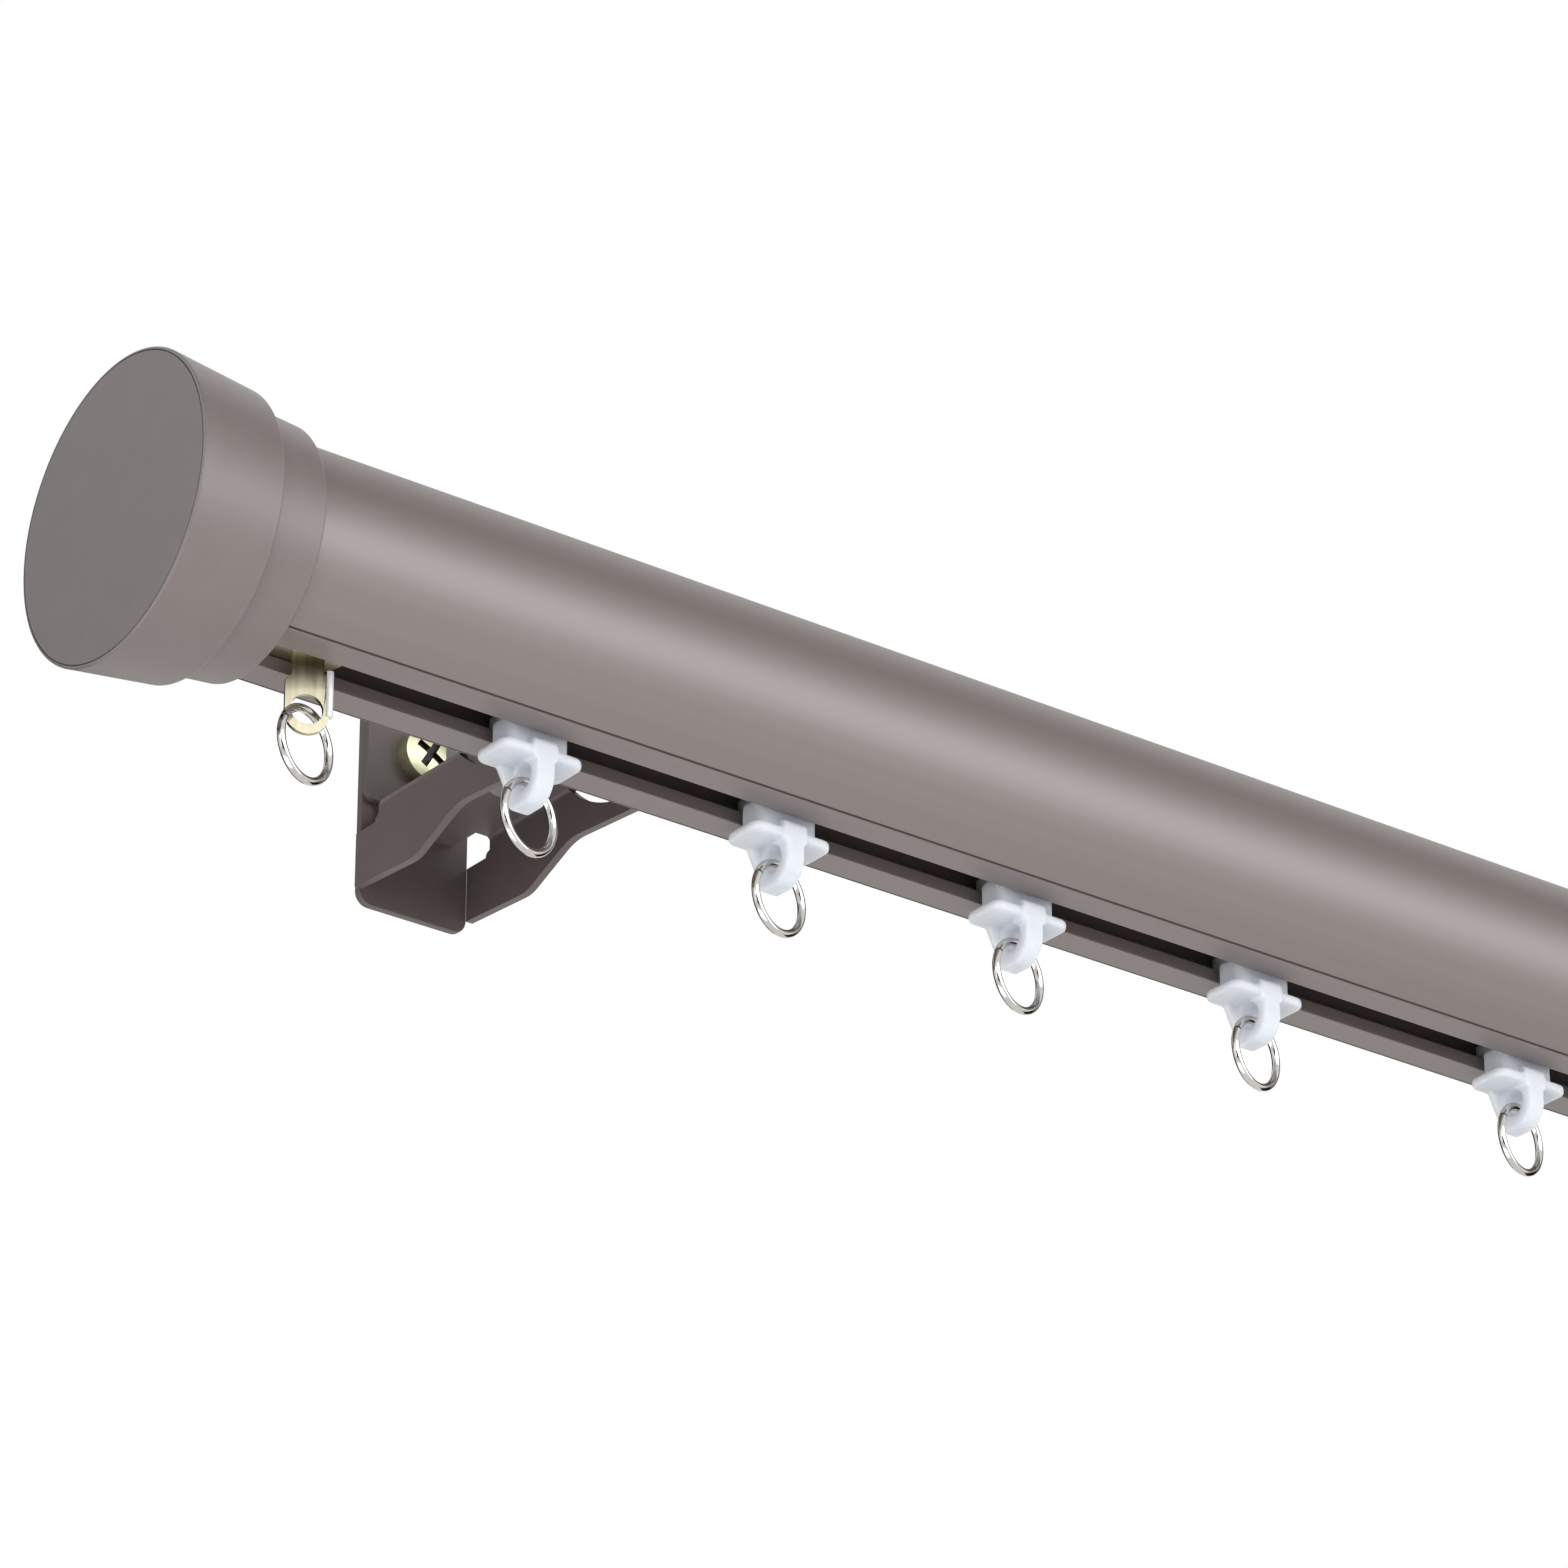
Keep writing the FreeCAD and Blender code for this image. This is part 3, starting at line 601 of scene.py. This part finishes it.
class Pen:
    """Draws a closed outline in a plane through a centre, in millimetres across and up."""

    def __init__(self, centre, right, up):
        self.mesh = bmesh.new()
        self.centre, self.right, self.up = Vector(centre), Vector(right), Vector(up)
        self.tip = None

    def place(self, across, up):
        """The point in space of a point in the plane."""
        return self.centre + (self.right * across + self.up * up) * MM

    def start(self, across, up):
        self.tip = self.mesh.verts.new(self.place(across, up))
        return self

    def line(self, *points):
        """Draw straight on through each of the points."""
        for across, up in points:
            self.tip = bmesh.ops.extrude_vert_indiv(self.mesh, verts=[self.tip])["verts"][0]
            self.tip.co = self.place(across, up)
        return self

    def arc(self, across, up, steps):
        """Spin the tip clockwise about the centre, until it lies in the direction of a point."""
        arm = self.tip.co - self.centre
        start = math.atan2(arm.dot(self.up), arm.dot(self.right))
        sweep = (math.atan2(up, across) - start) % math.tau - math.tau
        spun = bmesh.ops.spin(self.mesh, geom=[self.tip], cent=self.centre, axis=self.right.cross(self.up),
                              angle=sweep, steps=steps, use_merge=False, use_duplicate=False)
        self.tip = next(item for item in spun["geom_last"] if isinstance(item, bmesh.types.BMVert))
        return self

    def fill(self):
        """Close the outline and fill it with one face."""
        bmesh.ops.remove_doubles(self.mesh, verts=self.mesh.verts[:], dist=weld)
        return bmesh.ops.contextual_create(self.mesh, geom=self.mesh.edges[:])["faces"][0]


print("a pen that draws lines and arcs")

# %% [markdown]
# ## The rail's outline
# The real rail is pushed through a die, so it has one outline all the way along.
# The pen starts at the crease in front of the slot and goes up round the front and over the top.
# It draws the groove at the back, then the crease behind the slot, and last the channel above the slot.
# The hollow chambers inside the tube are left out, because both ends are closed by the caps.

# %% The rail's outline, drawn once round
flat_half, crease_half, crease_deep = 7.1, 0.2, 0.5
slot_half, lip, channel_half, channel_tall = 2.8, 1.8, 5.6, 3.8
mouth_half, groove_half, groove_lip, groove_deep = 2.0, 3.9, 1.6, 3.0
front_steps, back_steps = 96, 24
radius = rail_radius / MM
flat = -math.sqrt(radius ** 2 - flat_half ** 2)
floor_level, roof_level = flat + lip, flat + lip + channel_tall
crease_out, crease_in = flat_half + crease_half, flat_half - crease_half
crease_top = flat + crease_deep
crease_rim = -math.sqrt(radius ** 2 - crease_out ** 2)
mouth_rim = math.sqrt(radius ** 2 - mouth_half ** 2)
hook_front, hook_back = radius - groove_lip - groove_deep, radius - groove_lip

pen = Pen((rail_low.x, axis_y, axis_z), (0, 1, 0), (0, 0, 1))
pen.start(-crease_out, crease_rim).arc(mouth_rim, mouth_half, front_steps)
pen.line((hook_back, mouth_half), (hook_back, groove_half), (hook_front, groove_half),
         (hook_front, -groove_half), (hook_back, -groove_half), (hook_back, -mouth_half),
         (mouth_rim, -mouth_half))
pen.arc(crease_out, crease_rim, back_steps)
pen.line((crease_out, crease_top), (crease_in, crease_top), (crease_in, flat), (slot_half, flat),
         (slot_half, floor_level), (channel_half, floor_level), (channel_half, roof_level),
         (-channel_half, roof_level), (-channel_half, floor_level), (-slot_half, floor_level),
         (-slot_half, flat), (-crease_in, flat), (-crease_in, crease_top), (-crease_out, crease_top),
         (-crease_out, crease_rim))
section = pen.fill()
print("outline of", len(section.verts), "points")

# %% [markdown]
# ## The rail
# The outline's one face is extruded along X, as the die does with the metal.
# Lacquer rounds the sharp edges by about a tenth of a millimetre, which a narrow bevel gives.

# %% Extrude the outline and soften its long edges
rail_edge = 0.12 * MM
grown = bmesh.ops.extrude_face_region(pen.mesh, geom=[section])
ends = [item for item in grown["geom"] if isinstance(item, bmesh.types.BMVert)]
bmesh.ops.translate(pen.mesh, vec=(rail_high.x - rail_low.x, 0.0, 0.0), verts=ends)
bmesh.ops.recalc_face_normals(pen.mesh, faces=pen.mesh.faces[:])
soften(finished(pen.mesh, "rail_section", "rail", rail_coat), rail_edge)
print("rail", round((rail_high.x - rail_low.x) / MM, 1), "mm long")

# %% [markdown]
# ## A rounded rim
# Each rim of a cap is rounded by a few points of a quarter circle, which catch a thin line of light.

# %% Points of a rim
rim_round, rim_steps = 0.3, 4


def rim(across, up, way):
    """Points round a corner that would be sharp at across and up; way is -1 before a face and 1 after it."""
    quarter = [math.radians(90 * step / rim_steps) for step in range(rim_steps + 1)]
    points = [(across + rim_round * (1 - math.cos(angle)), up - rim_round * (1 - math.sin(angle)))
              for angle in quarter]
    return points if way < 0 else [(2 * across - place, level) for place, level in reversed(points)]


print("a rim of", len(rim(0, 0, 1)), "points")

# %% [markdown]
# ## The end caps
# A cap is round about the rail's axis, so one outline is spun about it, as a lathe would turn the piece.
# The same outline holds the drum, the collar and the bore that goes over the rail's end.
# Drum and collar both narrow a little towards the rail, as they do in the photograph.
# The flat end is a disc that sits in the drum, so a hair-wide seam runs round it and draws a dark line.
# The normals are weighted by area, so that the large flat faces stay flat beside the small ones of a rim.

# %% Turned caps
drum, drum_long, drum_back = drum_radius / MM, 11.6, 17.7
collar_radius, collar_back, cap_long = 16.1, 15.5, 18.7
cap_floor, bore_gap = 8.0, 0.05
seam_place, seam_wide, seam_deep = 0.5, 0.16, 0.25
round_steps = 128
bore, disc = radius + bore_gap, drum - seam_place

for side, facing in (("left", 1), ("right", -1)):
    node = "end_cap_" + side
    low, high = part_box(node)
    face_x = low.x if facing > 0 else high.x
    pen = Pen((face_x, axis_y, axis_z), (facing, 0, 0), (0, 0, 1))
    pen.start(0, 0)
    pen.line((0, disc), (seam_deep, disc), (seam_deep, disc + seam_wide), (0, disc + seam_wide))
    pen.line(*rim(0, drum, -1), *rim(drum_long, drum_back, 1), (drum_long, collar_radius),
             *rim(cap_long, collar_back, 1), (cap_long, bore), (cap_floor, bore), (cap_floor, 0))
    bmesh.ops.spin(pen.mesh, geom=pen.mesh.verts[:] + pen.mesh.edges[:], cent=pen.centre, axis=(1, 0, 0),
                   angle=math.tau, steps=round_steps, use_merge=True, use_duplicate=False)
    made_whole(pen.mesh)
    bmesh.ops.recalc_face_normals(pen.mesh, faces=pen.mesh.faces[:])
    cap = finished(pen.mesh, node + "_turned", node, cap_coat)
    even = cap.modifiers.new("even_normals", "WEIGHTED_NORMAL")
    even.keep_sharp = True
    print(node, "has", len(cap.data.polygons), "faces")

# %% [markdown]
# ## The runners
# A runner is moulded in one shot, so every wall runs into the next with a small fillet and nothing is sharp.
# A voxel remesh of a copy joins all of its walls into one skin.
# A few smoothing passes then draw the fillets.
# The head inside the channel is first narrowed along the rail, so that the slot shows only the stem.
# Above the stem it keeps a longer reach than at its two wings.

# %% Moulded runners
stem_half, stem_reach, wing_reach = 2.3 * MM, 4.3 * MM, 2.4 * MM
skin_grain, ease_share, ease_passes = 0.17 * MM, 0.5, 6
head_slack = 0.02 * MM
head_floor = axis_z + floor_level * MM - head_slack

runner_names = sorted(name for name in nodes if name.startswith("runner_") and "ring" not in name)
for name in runner_names:
    copy = merged_copy(name)
    middle = sum(corner.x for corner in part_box(name)) / 2
    for vert in copy.verts:
        if vert.co.z > head_floor:
            reach = stem_reach if abs(vert.co.y - axis_y) < stem_half else wing_reach
            vert.co.x = middle + max(-reach, min(reach, vert.co.x - middle))
    runner = finished(copy, name + "_moulded", name, runner_plastic, sharp=180.0)
    skin = runner.modifiers.new("one_skin", "REMESH")
    skin.mode = "VOXEL"
    skin.voxel_size = skin_grain
    skin.use_smooth_shade = True
    ease = runner.modifiers.new("fillets", "SMOOTH")
    ease.factor = ease_share
    ease.iterations = ease_passes
print(len(runner_names), "runners")

# %% [markdown]
# ## Softened edges
# Brackets, wall plates and end eyes are stamped from sheet and the clips are cut from bar.
# Tumbling and coating leave no edge sharp, and each edge catches a thin line of light.
# A narrow bevel on a copy of each piece gives that line.

# %% A copy with softened edges
sides = ("left", "right")


def softened(copy, node, finish, width):
    """The piece that stands for a node, from its copy, with its edges rounded by a width in millimetres."""
    piece = finished(copy, node + "_soft", node, finish)
    soften(piece, width * MM)
    return piece


print("softened copies for the", *sides)

# %% [markdown]
# ## The brackets
# A bracket's two arms reach under the rail from its web, and their rear points reach back to the wall plate.
# In the frame those points end a little in front of the plate, so the copy has them moved back.
# They are found in a narrow band before the plate, well below the rail's axis.

# %% Brackets whose arms reach the plate
bracket_edge = 0.22
rear_far, rear_near, rear_drop, rear_move = 2.6 * MM, 1.2 * MM, 6.0 * MM, 1.1 * MM
for side in sides:
    node = "bracket_" + side
    copy = merged_copy(node)
    plate_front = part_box("wall_plate_" + side)[0].y
    rear = [vert for vert in copy.verts
            if -rear_far < vert.co.y - plate_front < -rear_near and vert.co.z < axis_z - rear_drop]
    bmesh.ops.translate(copy, vec=(0.0, rear_move, 0.0), verts=rear)
    softened(copy, node, bracket_coat, bracket_edge)
    print("arms of", node, "reach back with", len(rear), "points")

# %% [markdown]
# ## Wall plates and clips
# These keep the frame's shape and only have their edges softened.

# %% Wall plates and clips with softened edges
for stem, finish, width in (("wall_plate_", bracket_coat, 0.22), ("rail_clip_", clip_metal, 0.3)):
    for side in sides:
        softened(merged_copy(stem + side), stem + side, finish, width)
        print(stem + side, "softened")

# %% [markdown]
# ## The end eyes
# An end eye is a strip whose outer edge is folded over to a hem, and the strip is turned a little about Z.
# Measured across the turned strip, the hem is what lies past its place.
# Its upper end is raised to where the photograph shows it, and its faces take the pale finish, which is a
# painted highlight.

# %% Eyes with a painted highlight on the hem
eye_edge = 0.1
eye_turn, hem_place = math.radians(20.0), 2.0 * MM
hem_top, hem_slack, hem_raise, hem_low = 14.0 * MM, 0.2 * MM, 1.8 * MM, 18.2 * MM
for side, turn in (("left", -1), ("right", 1)):
    node = "end_eye_" + side
    copy = merged_copy(node)
    middle = sum(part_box(node), Vector()) / 2
    across = Vector((math.cos(eye_turn), math.sin(eye_turn) * turn, 0.0))
    for vert in copy.verts:
        on_hem = (vert.co - middle).dot(across) > hem_place
        if on_hem and abs(vert.co.z - axis_z + hem_top) < hem_slack:
            vert.co.z += hem_raise
    # Faces on the hem take the second finish, which is a painted highlight.
    for face in copy.faces:
        spot = face.calc_center_median()
        on_hem = (spot - middle).dot(across) > hem_place
        face.material_index = int(on_hem and spot.z > axis_z - hem_low)
    piece = softened(copy, node, eye_metal, eye_edge)
    # The pale second finish is the hem's painted highlight.
    piece.data.materials.append(eye_hem.material)
    print(node, "has", sum(face.material_index for face in piece.data.polygons), "faces on its hem")

# %% [markdown]
# ## A screw's thread
# A wood screw's thread is one ridge that climbs round a thinner core.
# The ridge is one small triangle, spun about the screw's axis while it moves along it.
# Where the point begins, the ridge is drawn in with it, down to a thin tip.

# %% A ridge that climbs
core_share, root_deep = 0.74, 0.1 * MM
ridge_half, pitch = 0.32 * MM, 1.6 * MM
turn_steps, bare_turns, tip_share = 20, 0.6, 0.04


def thread(mesh, centre, shank, start, end, point):
    """A helical ridge on a shank from start to end, which runs out along the point."""
    turns = (end - start) / pitch - bare_turns
    root = shank * core_share - root_deep
    seed = [mesh.verts.new(Vector((centre.x + across, start + along, centre.z)))
            for across, along in ((root, 0.0), (shank, ridge_half), (root, 2 * ridge_half))]
    face = bmesh.ops.contextual_create(mesh, geom=seed)["faces"]
    bmesh.ops.spin(mesh, geom=seed + list(face[0].edges) + face, cent=centre, axis=(0, 1, 0),
                   dvec=(0, pitch / turn_steps, 0), angle=math.tau * turns,
                   steps=round(turn_steps * turns), use_merge=False, use_duplicate=False)
    for vert in mesh.verts:
        past = vert.co.y - (end - point)
        reach = Vector((vert.co.x - centre.x, 0.0, vert.co.z - centre.z))
        if past > 0 and reach.length > 0:
            limit = min(reach.length, shank * max(tip_share, 1 - past / point))
            vert.co = Vector((centre.x, vert.co.y, centre.z)) + reach.normalized() * limit


print("a thread of", round(pitch / MM, 2), "mm pitch")

# %% [markdown]
# ## The wall screws
# The frame's copy gives each screw its head with the cross recess, and a shank as thick as the thread.
# The head's dome is made flatter, the recess takes the dark finish of painted shade and the shank is drawn
# in to the core.
# The thread starts just behind the wall's face and stops just before the screw's end.
# Each ridge is closed at its ends and then added to the same mesh.

# %% Screws with a thread and a cross in painted shade
head_radius, head_dome, dome_share = 3.4 * MM, 0.9 * MM, 0.5
recess_deep, recess_reach, recess_steep = 1.1 * MM, 2.3 * MM, 0.5
shank_radius, point_long = 1.9 * MM, 3.5 * MM
thread_after, thread_before = 0.2 * MM, 0.3 * MM
slack, screw_edge = 0.05 * MM, 0.15 * MM


def screw_pair(node):
    """The two screws of one bracket: flatter heads, recesses in painted shade, cores and threads."""
    low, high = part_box(node)
    made = merged_copy(node)
    axes = [Vector(((low.x + high.x) / 2, 0.0, level))
            for level in (low.z + head_radius, high.z - head_radius)]

    def nearest(spot):
        return min(axes, key=lambda axis: abs(axis.z - spot.z))

    # Faces inside the cross recess take the second finish, which is painted shade.
    for face in made.faces:
        spot = face.calc_center_median()
        out = Vector((spot.x, 0.0, spot.z)) - nearest(spot)
        deep = spot.y - low.y
        in_shaded_hollow = out.length < recess_reach and deep < recess_deep + slack
        if in_shaded_hollow and (abs(face.normal.y) < recess_steep or deep > recess_deep - slack):
            face.material_index = 1
    for vert in made.verts:
        axis = nearest(vert.co)
        if vert.co.y < low.y + head_dome:
            vert.co.y = low.y + head_dome + (vert.co.y - low.y - head_dome) * dome_share
        if vert.co.y > slack:
            vert.co = Vector((axis.x, vert.co.y, axis.z)).lerp(vert.co, core_share)
    for axis in axes:
        ridge = bmesh.new()
        thread(ridge, axis, shank_radius, thread_after, high.y - thread_before, point_long)
        open_edges = [edge for edge in ridge.edges if edge.is_boundary]
        bmesh.ops.holes_fill(ridge, edges=open_edges, sides=3)
        bmesh.ops.recalc_face_normals(ridge, faces=ridge.faces[:])
        part = bpy.data.meshes.new("ridge")
        ridge.to_mesh(part)
        ridge.free()
        made.from_mesh(part)
        bpy.data.meshes.remove(part)
    return made


for side in sides:
    node = "wall_screws_" + side
    screws = finished(screw_pair(node), node + "_threaded", node, screw_zinc, sharp=30.0)
    # The second finish is the recess's painted shade.
    screws.data.materials.append(screw_recess.material)
    soften(screws, screw_edge, segments=2, sharp=45.0)
    print(node, "has", len(screws.data.polygons), "faces")

# %% [markdown]
